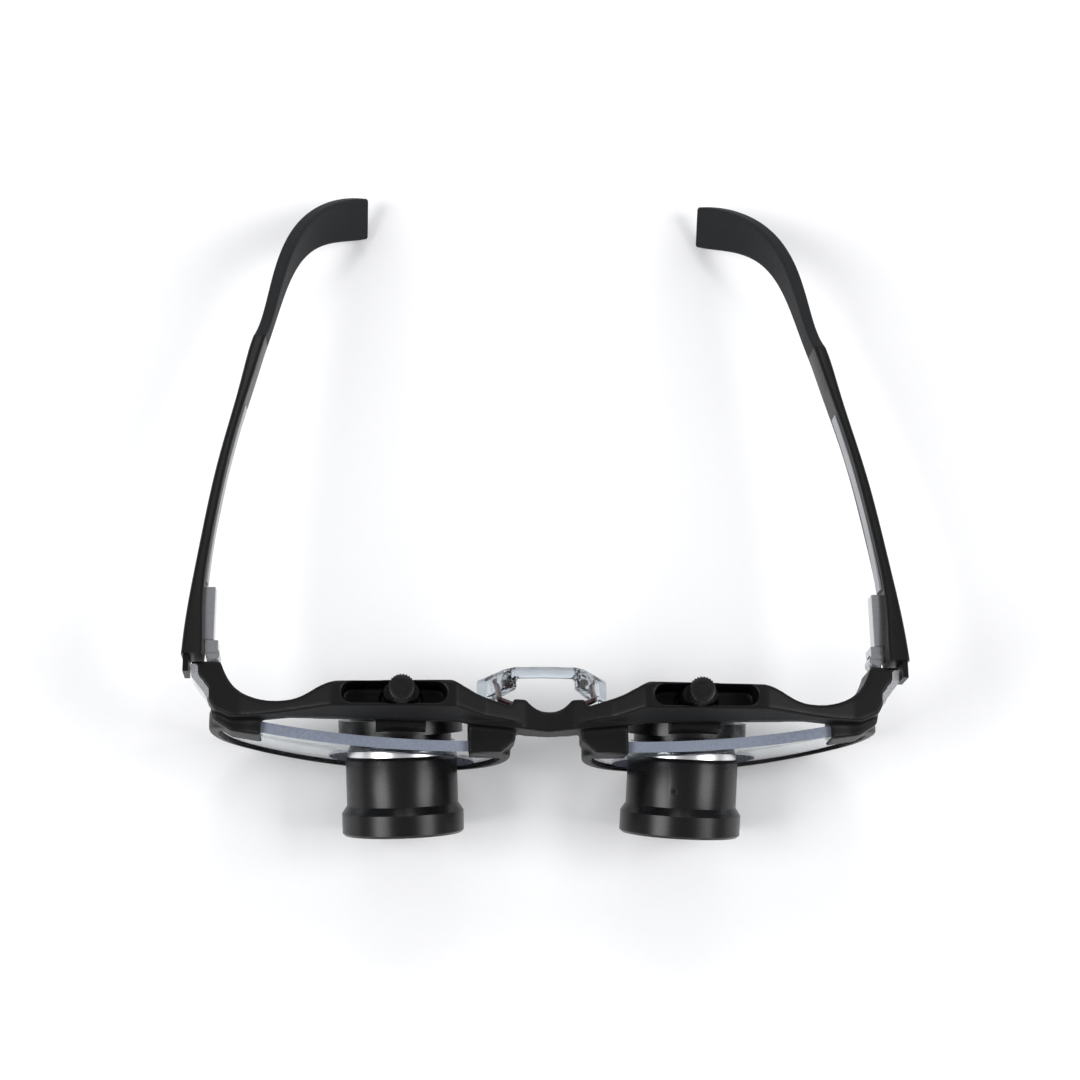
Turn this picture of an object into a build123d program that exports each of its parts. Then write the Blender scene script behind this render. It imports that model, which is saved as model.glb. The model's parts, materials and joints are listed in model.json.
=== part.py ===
from build123d import *
from math import asin, cos, hypot, radians, sin, sqrt, tan
import os

os.makedirs("parts", exist_ok=True)

# Dental loupes: two Galilean telescopes that pass through the carrier lenses of a sports frame.
# All sizes are in mm. The loupes stand on a table with the temples open: +Z is up, -Y is the way
# the wearer looks and +X is the wearer's left. Z = 0 is the table, under the barrels' front rims
# and the temple tips. Pieces of the wearer's left side are drawn, and the right side is their mirror.

# ---------------------------------------------------------------- driving sizes

# frame front
end_piece_x = 71.3              # centre plane to the outer face of an end piece, at the hinge
brow_top_z = 41.0               # top of the brow bar over the slots
bar_depth = 5.4                 # brow bar, front to back at its top
bar_bottom_z = 34.2             # underside of the brow bar
bar_rear_setback = 4.6          # rear face of the brow bar, ahead of the hinge line
bar_front_slope = 1.8           # how far the bar's front face runs out from its top to its foot
end_piece_top_z = 35.6
end_piece_bottom_z = 27.4
bridge_top_z = 34.4
bridge_bottom_z = 28.4
rim_outside = 1.3               # rim width outside the lens edge
rim_inside = 0.9                # rim width that laps the lens edge
rim_depth = 3.6                 # rim, front to back

# carrier lens
lens_centre_x = 37.5
lens_centre_z = 17.0
lens_setback = 15.6             # front surface at the lens centre, ahead of the hinge line
lens_radius = 170.0             # base curve
lens_thickness = 2.2
lens_wrap = 5.0                 # degrees that each lens turns outwards
lens_tilt = 6.0                 # degrees that the lens's lower edge leans towards the face
lens_top_z = 33.2
lens_bottom_z = 2.2
lens_fit = 0.05                 # lens edge in the rim's groove

# pupil distance slide
pupil_x = 29.6                  # centre plane to each stud and barrel, at rest
slot_x = 31.0                   # centre plane to the middle of a slot
slot_length = 20.6
slot_width = 4.1
stud_setback = 7.3              # slot and stud, ahead of the hinge line
slot_floor = 1.2                # web left under the slot, with a slit for the stud
slide_travel = 2.5              # each way
swivel_out = 2.0                # degrees
swivel_in = 3.0
stud_radius = 1.25
running_fit = 0.05              # radial, between a shaft and its hole
sliding_fit = 0.1               # each side, between a slide and its slot
knob_radius = 2.75
knob_height = 3.5
knob_chamfer = 0.35
washer_radius = 2.6
washer_thickness = 0.4
carriage_length = 7.0

# telescopes: stations are measured along the barrel axis from the point under the stud
declination = 16.0              # degrees below the horizontal
convergence = 2.5               # degrees towards the centre plane
front_station = 23.5            # front face of the front ring
front_ring_length = 4.5
front_ring_taper = 1.6
front_ring_flare = 1.05         # how far the front ring stands out over the barrel
front_ring_chamfer = 0.5
barrel_station = 7.4            # rear face of the black barrel
barrel_radius = 11.45
barrel_chamfer = 0.9
barrel_wall = 1.55
lock_ring_length = 2.8
lock_ring_step = 0.35           # how far the lock ring stands in from the barrel
housing_step = 1.05             # how far the ocular housing stands in from the barrel
housing_wall = 1.2
housing_rear = -1.4             # rear face of the ocular housing
housing_chamfer = 0.5
yoke_station = -0.1             # rear face of the yoke ring
yoke_thickness = 3.0
yoke_wall = 2.35                # yoke ring around the ocular housing
opening_clearance = 0.45        # carrier lens around the barrel, over the whole travel
glass_fit = 0.06                # radial, around each glass element
seat_gap = 0.02                 # between stacked rings and glasses
retainer_fit = 0.03             # radial, around each retaining ring
set_screw_station = 14.0
set_screw_radius = 0.8
set_screw_offset = 2.8          # from the barrel's top line towards the centre plane

# hinges
hinge_inset = 4.0               # outer face of the end piece to the pin axis
pin_y = 2.0                     # pin axis, behind the hinge line
pin_radius = 0.7
knuckle_radius = 1.4
knuckle_height = 2.2            # middle knuckle, on the frame
ear_height = 1.1                # each outer knuckle, on the temple
knuckle_gap = 0.1
hinge_z = 31.2
butt_gap = 0.9                  # end piece to temple, closed up as the temple flexes outwards

# temples
temple_height = 7.4
temple_slope = 8.0              # degrees that the shaft falls towards the ear
seam_back = 74.0                # joint between arm and tip, behind the hinge line
tip_height = 9.6
tip_thickness = 3.2
tab_reach = 2.6                 # how far the temple laps the end piece
tab_gap = 0.35                  # end piece to tab
tab_thickness = 1.1

# nose pad
pad_top_z = 27.5
pad_bottom_z = 13.5
pad_wall = 2.6
pad_front = 2.8                 # ahead of the hinge line
pad_back = 1.8                  # behind the hinge line
strap_width = 2.2

# ---------------------------------------------------------------- reference geometry

front_ring_radius = barrel_radius + front_ring_flare
lock_ring_radius = barrel_radius - lock_ring_step
housing_radius = barrel_radius - housing_step
yoke_radius = housing_radius + yoke_wall
pin_x = end_piece_x - hinge_inset

aim = Vector(
    -sin(radians(convergence)) * cos(radians(declination)),
    -cos(radians(convergence)) * cos(radians(declination)),
    -sin(radians(declination)),
)
across = Vector(cos(radians(convergence)), -sin(radians(convergence)), 0)

# The front rings touch the table where their chamfers begin.
eye_z = (front_station - front_ring_chamfer) * -aim.Z + front_ring_radius * cos(radians(declination))
front_reach = (
    stud_setback
    + front_station * -aim.Y
    + (front_ring_radius - front_ring_chamfer) * sqrt(1 - aim.Y**2)
)

# Stations of a temple tip behind the seam: run, inward turn, downward turn, height, thickness.
tip_runs = [19.0, 12.0, 11.0, 8.0, 3.4]
tip_inward = [12.0, 14.0, 24.0, 37.0, 43.0, 45.0]
tip_downward = [8.0, 13.0, 32.0, 50.0, 58.0, 59.0]
tip_swell = [0.0, 0.1, 0.35, 0.75, 1.0, 0.85]
seam_thickness = 2.7
seam_inset = 10.7               # outer face of the end piece to the tip's centre at the seam
seam_x = end_piece_x - seam_inset


def tip_direction(inward, downward):
    """Way the tip runs, from its turns in degrees."""
    return Vector(
        -sin(radians(inward)),
        cos(radians(inward)) * cos(radians(downward)),
        -cos(radians(inward)) * sin(radians(downward)),
    )


def tip_centres(start):
    """Centres of the tip's sections, from the seam to the end."""
    centres = [start]
    for i, run in enumerate(tip_runs):
        turn_in = (tip_inward[i] + tip_inward[i + 1]) / 2
        turn_down = (tip_downward[i] + tip_downward[i + 1]) / 2
        centres.append(centres[-1] + tip_direction(turn_in, turn_down) * run)
    return centres


def tip_corner(i, centre):
    """Lowest corner of one of the tip's sections."""
    height = temple_height + (tip_height - temple_height) * tip_swell[i]
    thickness = seam_thickness + (tip_thickness - seam_thickness) * tip_swell[i]
    down = radians(tip_downward[i])
    drop = height / 2 * cos(down) + thickness / 2 * sin(radians(tip_inward[i])) * sin(down)
    return centre.Z - drop


tip_line = tip_centres(Vector(seam_x, seam_back, 0))
end_lean = radians(tip_downward[-1])
end_height = temple_height + (tip_height - temple_height) * tip_swell[-1]
rear_reach = tip_line[-1].Y + end_height / 2 * sin(end_lean)

# The hinge line is placed so that the loupes are centred over the origin.
hinge_y = (front_reach - rear_reach) / 2
seam_z = -min(tip_corner(i, centre) for i, centre in enumerate(tip_line))
shaft_drop = seam_back * tan(radians(temple_slope))
temple_z = seam_z + shaft_drop

lens_normal = Vector(
    sin(radians(lens_wrap)) * cos(radians(lens_tilt)),
    -cos(radians(lens_wrap)) * cos(radians(lens_tilt)),
    -sin(radians(lens_tilt)),
)
lens_centre = Vector(lens_centre_x, hinge_y - lens_setback, lens_centre_z)
dome_centre = lens_centre - lens_normal * lens_radius

eye_point = Vector(pupil_x, hinge_y - stud_setback, eye_z)
barrel_axis = Axis(eye_point, aim)
profile_plane = Plane(origin=eye_point, x_dir=aim, z_dir=across)
slot_y = hinge_y - stud_setback
bar_rear_y = hinge_y - bar_rear_setback
bar_front_y = bar_rear_y - bar_depth


def save(piece, name):
    """Label a finished piece and write its STEP file."""
    piece.part.label = name
    export_step(piece.part, f"parts/{name}.step")


def save_pair(piece, name):
    """Write a left piece and its mirror image on the right."""
    save(piece, f"left_{name}")
    with BuildPart() as mirrored:
        mirror(piece.part, about=Plane.YZ)
    save(mirrored, f"right_{name}")


def turned(corners, mode=Mode.ADD):
    """Turn a closed profile of (station, radius) corners about the barrel axis."""
    with BuildSketch(profile_plane) as profile:
        with BuildLine():
            Polyline(*corners, close=True)
        make_face()
    revolve(profile.sketch, axis=barrel_axis, mode=mode)


def collar(start, end, outer, inner):
    """Plain ring about the barrel axis between two stations."""
    turned([(start, inner), (end, inner), (end, outer), (start, outer)])


def glass(rear_edge, rear_bulge, front_edge, front_bulge, radius):
    """Turn a lens element; each bulge is how far its surface stands forward at the centre."""
    with BuildSketch(profile_plane) as profile:
        with BuildLine():
            for edge, bulge in ((rear_edge, rear_bulge), (front_edge, front_bulge)):
                if bulge:
                    ThreePointArc((edge, radius), (edge + bulge, 0), (edge, -radius))
                else:
                    Line((edge, radius), (edge, -radius))
            Line((rear_edge, radius), (front_edge, radius))
            Line((rear_edge, -radius), (front_edge, -radius))
        make_face()
        with Locations(((rear_edge + front_edge) / 2, -radius)):
            Rectangle(4 * radius, 2 * radius, mode=Mode.SUBTRACT)
    revolve(profile.sketch, axis=barrel_axis)


def circle_through(first, middle, last):
    """Centre and radius of the circle through three points."""
    (x1, y1), (x2, y2), (x3, y3) = first, middle, last
    scale = 2 * (x1 * (y2 - y3) + x2 * (y3 - y1) + x3 * (y1 - y2))
    x = (x1**2 + y1**2) * (y2 - y3) + (x2**2 + y2**2) * (y3 - y1) + (x3**2 + y3**2) * (y1 - y2)
    y = (x1**2 + y1**2) * (x3 - x2) + (x2**2 + y2**2) * (x1 - x3) + (x3**2 + y3**2) * (x2 - x1)
    centre = (x / scale, y / scale)
    return centre, hypot(x1 - centre[0], y1 - centre[1])


def circles_meet(first, second, near):
    """Crossing of two circles, given as (centre, radius), that lies nearest a point."""
    (x1, y1), r1 = first
    (x2, y2), r2 = second
    gap = hypot(x2 - x1, y2 - y1)
    along = (gap**2 + r1**2 - r2**2) / (2 * gap)
    aside = sqrt(r1**2 - along**2)
    ux, uy = (x2 - x1) / gap, (y2 - y1) / gap
    crossings = [(x1 + along * ux - k * aside * uy, y1 + along * uy + k * aside * ux) for k in (-1, 1)]
    return min(crossings, key=lambda point: hypot(point[0] - near[0], point[1] - near[1]))


def lens_outline(grow):
    """Face in the XZ plane with the carrier lens's outline, grown evenly by a distance."""
    corners = [
        (9.0, lens_top_z - 3.4),
        (66.0, lens_top_z - 2.6),
        (62.6, lens_bottom_z + 1.6),
        (19.0, lens_bottom_z + 1.8),
    ]
    middles = [
        (36.0, lens_top_z),
        (66.8, lens_centre_z + 1.0),
        (41.0, lens_bottom_z),
        (10.6, lens_centre_z - 2.0),
    ]
    corner_radii = [5.0, 7.0, 11.0, 11.0]
    arcs = []
    for i, middle in enumerate(middles):
        centre, radius = circle_through(corners[i], middle, corners[(i + 1) % 4])
        arcs.append((centre, radius + grow))
    grown = [circles_meet(arcs[i - 1], arcs[i], corners[i]) for i in range(4)]
    with BuildSketch(Plane.XZ.offset(-hinge_y)) as outline:
        with BuildLine():
            for i, (centre, radius) in enumerate(arcs):
                out = Vector(middles[i][0] - centre[0], middles[i][1] - centre[1]).normalized()
                ThreePointArc(grown[i], Vector(*centre) + out * radius, grown[(i + 1) % 4])
        make_face()
        for corner, radius in zip(grown, corner_radii):
            fillet(outline.vertices().sort_by_distance(corner)[0], radius + grow)
    return outline.sketch


def dome_slice(face, behind, ahead, mode=Mode.ADD):
    """Slice of the lens dome under a face: from behind the front surface to ahead of it."""
    with BuildPart(mode=Mode.PRIVATE) as piece:
        extrude(face, amount=lens_radius)
        with Locations(dome_centre):
            Sphere(lens_radius + ahead, mode=Mode.INTERSECT)
            Sphere(lens_radius - behind, mode=Mode.SUBTRACT)
    add(piece.part, mode=mode)


def stud_hole(radius, low, high):
    """Cut a hole about the stud's axis between two heights."""
    with BuildSketch(Plane.XY.offset(low)) as hole:
        with Locations((pupil_x, slot_y)):
            Circle(radius)
    extrude(hole.sketch, amount=high - low, mode=Mode.SUBTRACT)


# ---------------------------------------------------------------- frame front

# The opening follows the tilted barrel through the lens, with room for the slide and the swivel.
lens_station = (lens_setback - stud_setback) / -aim.Y
relative_tilt = radians(declination - lens_tilt)
tilted_radius = barrel_radius / cos(relative_tilt) + lens_thickness * tan(relative_tilt) / 2
opening_radius = tilted_radius + opening_clearance
swivel_shift = lens_station * sin(radians(max(swivel_in, swivel_out)))
opening_half_width = barrel_radius + slide_travel + swivel_shift + opening_clearance
opening_x = pupil_x + aim.X * lens_station
opening_z = eye_z + aim.Z * (lens_station - lens_thickness / 2)

with BuildSketch(Plane.XZ.offset(-hinge_y)) as barrel_opening:
    with Locations((opening_x, opening_z)):
        SlotOverall(2 * opening_half_width, 2 * opening_radius)

with BuildPart() as carrier_lens:
    dome_slice(lens_outline(-lens_fit), lens_thickness, 0)
    extrude(barrel_opening.sketch, amount=lens_radius, mode=Mode.SUBTRACT)
save_pair(carrier_lens, "carrier_lens")

# Plan of the left half of the moulding, from the bridge round the end piece and back along the front.
bridge_shoulder_x = 4.6
pad_boss_width = 2.4
bridge_rear_y = hinge_y - 9.5
bridge_front_y = hinge_y - 13.6
bridge_shoulder_y = hinge_y - 7.0
slot_end_x = slot_x + slot_length / 2
slot_start_x = slot_x - slot_length / 2
end_piece_width = 5.8
end_piece_inner_x = end_piece_x - end_piece_width
bar_foot_y = bar_front_y - bar_front_slope

with BuildSketch(Plane.XY.offset(bridge_bottom_z - 8.0)) as front_plan:
    with BuildLine():
        ThreePointArc(
            (-bridge_shoulder_x, bridge_shoulder_y),
            (0, bridge_rear_y),
            (bridge_shoulder_x, bridge_shoulder_y),
        )
        rear_inner = Polyline(
            (bridge_shoulder_x, bridge_shoulder_y),
            (bridge_shoulder_x + pad_boss_width, bridge_shoulder_y),
            (bridge_shoulder_x + pad_boss_width + 0.8, hinge_y - 8.5),
            (slot_start_x - 6.0, hinge_y - 6.7),
            (slot_start_x - 1.0, bar_rear_y),
            (slot_end_x + 1.0, bar_rear_y - 0.4),
        )
        rear_sweep = Spline(
            rear_inner @ 1,
            (slot_end_x + 8.0, hinge_y - 7.8),
            (slot_end_x + 14.5, hinge_y - 8.3),
            (slot_end_x + 19.5, hinge_y - 6.6),
            (end_piece_inner_x, hinge_y),
            tangents=[(1, -0.1), (0.35, 1)],
        )
        outer_end = Polyline(
            (end_piece_inner_x, hinge_y),
            (end_piece_x, hinge_y),
            (end_piece_x - 0.3, hinge_y - 3.2),
            (end_piece_x - 2.9, hinge_y - 6.5),
            (end_piece_x - 4.6, hinge_y - 9.6),
            (end_piece_x - 8.0, hinge_y - 11.2),
            (slot_end_x + 8.0, bar_foot_y + 0.5),
            (slot_start_x - 1.0, bar_foot_y),
            (bridge_shoulder_x + 1.5, bar_foot_y - 1.2),
            (0, bridge_front_y),
        )
        for edge in (rear_inner, rear_sweep, outer_end):
            mirror(edge, about=Plane.YZ)
    make_face()

with BuildSketch(Plane.XZ) as front_view:
    with BuildLine():
        top_left = Polyline(
            (0, bridge_top_z),
            (bridge_shoulder_x, bridge_top_z + 0.3),
            (slot_start_x - 8.0, bridge_top_z + 2.6),
            (slot_start_x - 2.0, brow_top_z),
            (slot_end_x + 2.0, brow_top_z),
            (slot_end_x + 11.0, brow_top_z - 2.6),
            (end_piece_inner_x - 4.0, end_piece_top_z + 0.6),
            (end_piece_x + 2.0, end_piece_top_z),
            (end_piece_x + 2.0, end_piece_bottom_z),
            (end_piece_inner_x - 0.5, end_piece_bottom_z),
            (end_piece_inner_x - 4.5, end_piece_bottom_z + 2.6),
            (slot_end_x + 10.0, bar_bottom_z),
            (slot_start_x - 3.0, bar_bottom_z),
            (slot_start_x - 8.5, bridge_bottom_z + 1.6),
            (bridge_shoulder_x, bridge_bottom_z - 0.4),
            (0, bridge_bottom_z + 0.4),
        )
        mirror(top_left, about=Plane.YZ)
    make_face()

# Lugs hold the lens's two top corners; the edge between them is free.
outer_lug_x = 57.3
inner_lug_x = 16.1
rim_lap = (rim_depth - lens_thickness) / 2

with BuildPart() as left_rim:
    dome_slice(lens_outline(rim_outside), lens_thickness + rim_lap, rim_lap)
    extrude(lens_outline(-rim_inside), amount=lens_radius, mode=Mode.SUBTRACT)
    with Locations(((outer_lug_x + inner_lug_x) / 2, hinge_y - lens_setback, lens_top_z)):
        Box(outer_lug_x - inner_lug_x, lens_radius / 4, 14.0, mode=Mode.SUBTRACT)

with BuildPart() as left_lugs:
    with BuildSketch(Plane.XY.offset(end_piece_bottom_z - 1.0)):
        with BuildLine():
            Polyline(
                (outer_lug_x, hinge_y - 8.0),
                (end_piece_x - 3.6, hinge_y - 7.0),
                (end_piece_x - 4.4, hinge_y - 11.0),
                (end_piece_x - 8.0, hinge_y - 13.4),
                (outer_lug_x, hinge_y - 14.4),
                close=True,
            )
        make_face()
        with BuildLine():
            Polyline(
                (inner_lug_x, hinge_y - 9.0),
                (inner_lug_x, hinge_y - 17.3),
                (inner_lug_x - 6.5, hinge_y - 17.4),
                (bridge_shoulder_x + 2.0, hinge_y - 14.8),
                (bridge_shoulder_x + 2.0, hinge_y - 9.5),
                close=True,
            )
        make_face()
    extrude(amount=lens_top_z + 0.6 - end_piece_bottom_z)

# Seats for the trim plate and the hinge leaf in the left end piece.
trim_back = 0.6                 # rear edge of the trim plate, ahead of the hinge line
trim_front = 7.6
trim_proud = 0.12
trim_thickness = 1.3
trim_low_z = end_piece_bottom_z + 1.0
trim_high_z = end_piece_top_z + 0.05
outer_bend = (end_piece_x - 0.3, hinge_y - 3.2)     # where the outer face turns forward
outer_slant = (end_piece_x - 2.9, hinge_y - 6.5)
leaf_width = 2.4
leaf_reach = 3.8

with BuildSketch(Plane.XY.offset(trim_low_z)) as trim_plan:
    with BuildLine():
        outside = Polyline(
            (end_piece_x + trim_proud, hinge_y - trim_back),
            (outer_bend[0] + trim_proud, outer_bend[1]),
            (outer_slant[0] + trim_proud, outer_slant[1]),
            (outer_slant[0] + trim_proud - 0.6, hinge_y - trim_front),
        )
        inside = Polyline(
            (end_piece_x - trim_thickness, hinge_y - trim_back),
            (outer_bend[0] - trim_thickness, outer_bend[1] + 0.3),
            (outer_slant[0] - trim_thickness, outer_slant[1] + 0.4),
            (outer_slant[0] - trim_thickness - 0.4, hinge_y - trim_front + 0.4),
        )
        Line(outside @ 0, inside @ 0)
        Line(outside @ 1, inside @ 1)
    make_face()

with BuildPart() as trim_plate:
    extrude(trim_plan.sketch, amount=trim_high_z - trim_low_z)
save_pair(trim_plate, "trim_plate")

with BuildPart() as hinge_leaf:
    with BuildSketch(Plane.XY.offset(hinge_z - knuckle_height / 2)) as leaf_plan:
        with Locations((pin_x, hinge_y + pin_y)):
            Circle(knuckle_radius)
        with Locations((pin_x, hinge_y + (pin_y - leaf_reach) / 2)):
            Rectangle(leaf_width, pin_y + leaf_reach)
        with Locations((pin_x, hinge_y + pin_y)):
            Circle(pin_radius + running_fit, mode=Mode.SUBTRACT)
    extrude(amount=knuckle_height)
save_pair(hinge_leaf, "hinge_leaf")

pad_arm_radius = 0.6
pad_arm_z = bridge_bottom_z + 1.2
pad_half_top = 8.6
pad_half_bottom = 13.8

with BuildPart() as pad_arms:
    for side in (-1, 1):
        start = Vector(side * (bridge_shoulder_x + pad_boss_width / 2), hinge_y - 7.4, pad_arm_z)
        turn = Vector(side * (pad_half_top + 1.2), hinge_y - 5.6, pad_arm_z - 1.0)
        end = Vector(side * (pad_half_top + 1.0), hinge_y - pad_front + 3.0, pad_top_z - 7.2)
        with BuildLine() as route:
            FilletPolyline(start, turn, end, radius=1.6)
        with BuildSketch(Plane(origin=start, z_dir=turn - start)) as section:
            Circle(pad_arm_radius)
        sweep(section.sketch, path=route.line)
save(pad_arms, "pad_arms")

with BuildPart() as brow_frame:
    extrude(front_plan.sketch, amount=brow_top_z)
    extrude(front_view.sketch, amount=2 * lens_radius, both=True, mode=Mode.INTERSECT)
    # The bar's front face slopes forward from its top edge.
    with BuildSketch(Plane.YZ) as slope:
        with BuildLine():
            Polyline(
                (bar_front_y, brow_top_z + 1.0),
                (bar_front_y, brow_top_z),
                (bar_foot_y, bar_bottom_z + 0.8),
                (bar_foot_y - 8.0, bar_bottom_z + 0.8),
                (bar_foot_y - 8.0, brow_top_z + 1.0),
                close=True,
            )
        make_face()
    extrude(slope.sketch, amount=end_piece_inner_x - 3.0, both=True, mode=Mode.SUBTRACT)
    for piece in (left_rim, left_lugs):
        add(piece.part)
        mirror(piece.part, about=Plane.YZ)
    # Slots for the pupil distance slides.
    with BuildSketch(Plane.XY.offset(bar_bottom_z + slot_floor)) as slots:
        with Locations((-slot_x, slot_y), (slot_x, slot_y)):
            SlotOverall(slot_length, slot_width)
    extrude(slots.sketch, amount=2 * (brow_top_z - bar_bottom_z), mode=Mode.SUBTRACT)
    # Under each slot a slit lets only the stud through.
    stud_clearance = stud_radius + 3 * sliding_fit
    with BuildSketch(Plane.XY.offset(bar_bottom_z - 2.0)) as slits:
        with Locations((-pupil_x, slot_y), (pupil_x, slot_y)):
            SlotOverall(2 * (slide_travel + stud_clearance), 2 * stud_clearance)
    extrude(slits.sketch, amount=2 * (brow_top_z - bar_bottom_z), mode=Mode.SUBTRACT)
    # Grooves for the lenses, seats for the trim plates and pockets for the hinge leaves.
    with BuildPart(mode=Mode.PRIVATE) as seats:
        dome_slice(lens_outline(0), lens_thickness + lens_fit, lens_fit)
        extrude(trim_plan.sketch, amount=trim_high_z - trim_low_z)
        with Locations((pin_x, hinge_y - leaf_reach / 2, hinge_z)):
            Box(leaf_width, leaf_reach, knuckle_height)
    add(seats.part, mode=Mode.SUBTRACT)
    mirror(seats.part, about=Plane.YZ, mode=Mode.SUBTRACT)
    add(pad_arms.part, mode=Mode.SUBTRACT)
save(brow_frame, "brow_frame")

# ---------------------------------------------------------------- nose pad

with BuildSketch(Plane.XZ.offset(-hinge_y - pad_back)) as saddle:
    with BuildLine():
        outer_side = Polyline(
            (0, pad_top_z),
            (pad_half_top - 2.0, pad_top_z - 0.4),
            (pad_half_top, pad_top_z - 2.4),
            (pad_half_bottom, pad_bottom_z + 2.0),
            (pad_half_bottom - 1.0, pad_bottom_z),
            (pad_half_bottom - 1.0 - pad_wall, pad_bottom_z + 1.0),
            (pad_half_top - pad_wall, pad_top_z - 2.8),
            (pad_half_top - pad_wall - 2.0, pad_top_z - pad_wall),
            (0, pad_top_z - pad_wall + 0.2),
        )
        mirror(outer_side, about=Plane.YZ)
    make_face()

with BuildPart() as nose_pad:
    extrude(saddle.sketch, amount=pad_front + pad_back)
    with Locations((0, hinge_y + pad_back - strap_width - 10.0, pad_top_z)):
        Box(2 * (pad_half_top - pad_wall), 20.0, 12.0, mode=Mode.SUBTRACT)
    add(pad_arms.part, mode=Mode.SUBTRACT)
save(nose_pad, "nose_pad")

# ---------------------------------------------------------------- pupil distance slides

flange_top_z = bar_bottom_z - 2 * sliding_fit
flange_thickness = 2.4
flange_half_width = 5.0
knob_lift_gap = 0.05             # under the washer and under the knob, with the clamp closed
knob_cap = 1.0                   # knob's closed top
washer_seat_z = brow_top_z + knob_lift_gap
knob_seat_z = washer_seat_z + washer_thickness + knob_lift_gap
stud_top_z = knob_seat_z + knob_height - knob_cap
stud_low_z = flange_top_z - flange_thickness + 0.2

with BuildPart() as slide_carriage:
    carriage_low_z = bar_bottom_z + slot_floor + sliding_fit
    with BuildSketch(Plane.XY.offset(carriage_low_z)):
        with Locations((pupil_x, slot_y)):
            SlotOverall(carriage_length, slot_width - 2 * sliding_fit)
            Circle(stud_radius + running_fit, mode=Mode.SUBTRACT)
    extrude(amount=brow_top_z - carriage_low_z)
save_pair(slide_carriage, "slide_carriage")

with BuildPart() as clamp_washer:
    with BuildSketch(Plane.XY.offset(washer_seat_z)):
        with Locations((pupil_x, slot_y)):
            Circle(washer_radius)
            Circle(stud_radius + running_fit, mode=Mode.SUBTRACT)
    extrude(amount=washer_thickness)
save_pair(clamp_washer, "clamp_washer")

with BuildPart() as clamp_stud:
    with BuildSketch(Plane.XY.offset(stud_low_z)):
        with Locations((pupil_x, slot_y)):
            Circle(stud_radius)
    extrude(amount=stud_top_z - stud_low_z)
save_pair(clamp_stud, "clamp_stud")

with BuildPart() as thumb_knob:
    with BuildSketch(Plane.XY.offset(knob_seat_z)):
        with Locations((pupil_x, slot_y)):
            Circle(knob_radius)
    extrude(amount=knob_height)
    chamfer(thumb_knob.edges().group_by(Axis.Z)[-1], knob_chamfer)
    stud_hole(stud_radius, knob_seat_z, stud_top_z)
save_pair(thumb_knob, "thumb_knob")

# ---------------------------------------------------------------- telescopes

thread_radius = housing_radius + running_fit
housing_bore = housing_radius - housing_wall
housing_front = barrel_station + 2.4
barrel_bore = barrel_radius - barrel_wall
spigot_radius = barrel_radius - 0.5
spigot_length = 1.9
ring_rear = front_station - front_ring_length - front_ring_taper
cell_ledge = ring_rear + spigot_length + 0.1
cell_seat = cell_ledge + 0.6
cell_wall = 1.5
cell_radius = front_ring_radius - cell_wall
ledge_width = 1.0                # ledges and retaining rings that hold the glasses
retainer_length = 0.7
retainer_front = front_station - 0.6
retainer_rear = retainer_front - retainer_length
retainer_bore = cell_radius - ledge_width
stop_station = housing_front + 2.0
stop_thickness = 0.6
stop_bore = barrel_bore - 2.4
eyepiece_seat = 2.0
eyepiece_ledge = 0.6
eyepiece_rear = housing_rear + 0.8

# The yoke hangs from the stud: a flange under the bar, a web, and a ring round the housing.
flange_rear_y = slot_y + 3.0
flange_front_y = slot_y - 5.4
web_depth = 3.4
web_height = 4.6
flange_low_z = flange_top_z - flange_thickness

with BuildPart() as swivel_yoke:
    collar(yoke_station, yoke_station + yoke_thickness, yoke_radius, thread_radius)
    with BuildSketch(Plane.XY.offset(flange_low_z)):
        with Locations((pupil_x, (flange_rear_y + flange_front_y) / 2)):
            RectangleRounded(2 * flange_half_width, flange_rear_y - flange_front_y, 1.5)
    extrude(amount=flange_thickness)
    with Locations((pupil_x, flange_front_y + web_depth / 2, flange_low_z)):
        Box(2 * flange_half_width, web_depth, web_height)
    near = yoke_station - yoke_radius
    far = yoke_station + yoke_radius
    turned([(near, 0), (far, 0), (far, thread_radius), (near, thread_radius)], mode=Mode.SUBTRACT)
    stud_hole(stud_radius + running_fit, flange_low_z, flange_top_z)
save_pair(swivel_yoke, "swivel_yoke")

with BuildPart() as ocular_housing:
    turned([
        (housing_rear, housing_bore),
        (eyepiece_seat, housing_bore),
        (eyepiece_seat, housing_bore - eyepiece_ledge),
        (eyepiece_seat + eyepiece_ledge, housing_bore - eyepiece_ledge),
        (eyepiece_seat + eyepiece_ledge, housing_bore),
        (housing_front, housing_bore),
        (housing_front, housing_radius),
        (housing_rear + housing_chamfer, housing_radius),
        (housing_rear, housing_radius - housing_chamfer),
    ])
save_pair(ocular_housing, "ocular_housing")

with BuildPart() as eyepiece_lens:
    glass(eyepiece_rear, 0.9, eyepiece_seat - seat_gap, -0.8, housing_bore - glass_fit)
save_pair(eyepiece_lens, "eyepiece_lens")

with BuildPart() as eyepiece_retainer:
    retainer_radius = housing_bore - retainer_fit
    collar(housing_rear + 0.1, eyepiece_rear - seat_gap, retainer_radius, housing_bore - ledge_width)
save_pair(eyepiece_retainer, "eyepiece_retainer")

with BuildPart() as lock_ring:
    lock_ring_front = barrel_station - seat_gap
    collar(lock_ring_front - lock_ring_length, lock_ring_front, lock_ring_radius, thread_radius)
save_pair(lock_ring, "lock_ring")

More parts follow.
